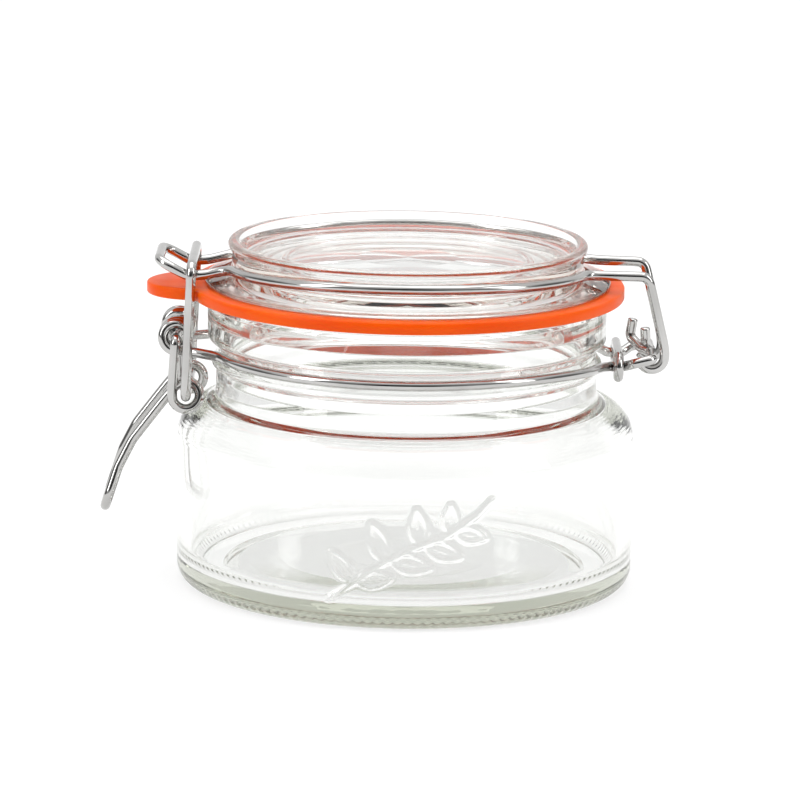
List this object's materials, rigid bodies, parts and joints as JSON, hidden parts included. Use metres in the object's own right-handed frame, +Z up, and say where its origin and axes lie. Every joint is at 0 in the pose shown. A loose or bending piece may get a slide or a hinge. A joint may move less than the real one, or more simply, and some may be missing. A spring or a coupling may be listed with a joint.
{
  "type": "lidded glass canister",
  "caption": "Squat clear glass canister with a hinged glass lid, an orange rubber seal and a sprung wire clip that clamps the lid shut.",
  "frame": {"origin": "on the jar's axis, in the plane that the jar stands on", "axes": "+Z up the jar's axis, +X towards the hinge, -X towards the latch, -Y towards the front that carries the ornament"},
  "size_m": [0.136, 0.11, 0.0829],
  "materials": {
    "jar_glass": "clear pressed soda-lime glass, faintly green where it is thick",
    "lid_glass": "clear pressed glass",
    "seal_rubber": "smooth orange rubber with a slight sheen",
    "bright_wire": "bright drawn steel wire"
  },
  "bodies": {
    "jar": {"glass_jar": "jar_glass", "neck_wire": "bright_wire", "neck_wire_clip": "bright_wire"},
    "lid": {"glass_lid": "lid_glass", "lid_wire": "bright_wire", "rubber_gasket": "seal_rubber"},
    "lever": {"latch_lever": "bright_wire"},
    "link": {"latch_link": "bright_wire"}
  },
  "joints": [
    {"name": "lid_hinge", "type": "hinge", "parent": "jar", "child": "lid", "pos_m": [0.0586, 0, 0.0567], "axis": [0, 1, 0], "range_deg": [0, 190]},
    {"name": "lever_pivot", "type": "hinge", "parent": "jar", "child": "lever", "pos_m": [-0.055, 0, 0.0602], "axis": [0, 1, 0], "range_deg": [0, 110]},
    {"name": "link_pivot", "type": "hinge", "parent": "lever", "child": "link", "pos_m": [-0.0525, 0, 0.0465], "axis": [0, 1, 0], "range_deg": [-66, 0]}
  ],
  "couplings": [
    {"joint": "link_pivot", "follows": "lever_pivot", "ratio": -0.6}
  ]
}
